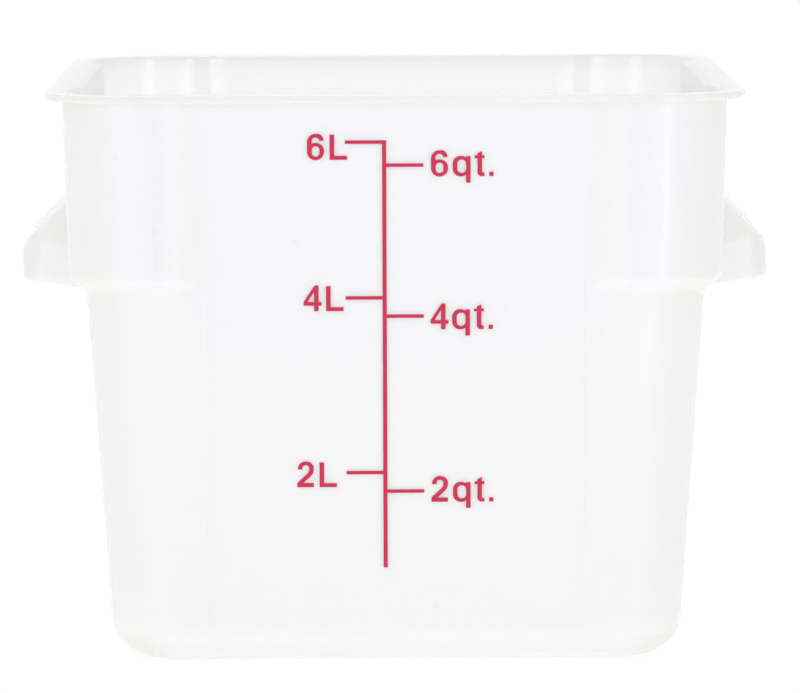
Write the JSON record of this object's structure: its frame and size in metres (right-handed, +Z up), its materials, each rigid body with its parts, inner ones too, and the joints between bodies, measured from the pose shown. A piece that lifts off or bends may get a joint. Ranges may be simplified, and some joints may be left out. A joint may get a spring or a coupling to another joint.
{
  "type": "square food storage container",
  "caption": "Square open-top food storage tub of translucent plastic with hooded hand grips, stepped shoulder columns and a printed litre and quart scale.",
  "frame": {"origin": "on the plane the tub stands on, under the middle of its base", "axes": "+X towards the grip on the right of someone who faces the printed side, +Y towards the back, away from the printed side, +Z up"},
  "size_m": [0.245, 0.224, 0.185],
  "materials": {
    "polypropylene": "translucent natural polypropylene with a fine satin skin",
    "red_ink": "thin printed red ink"
  },
  "bodies": {
    "root": {"container_tub": "polypropylene", "graduation_scale": "red_ink"}
  },
  "joints": []
}
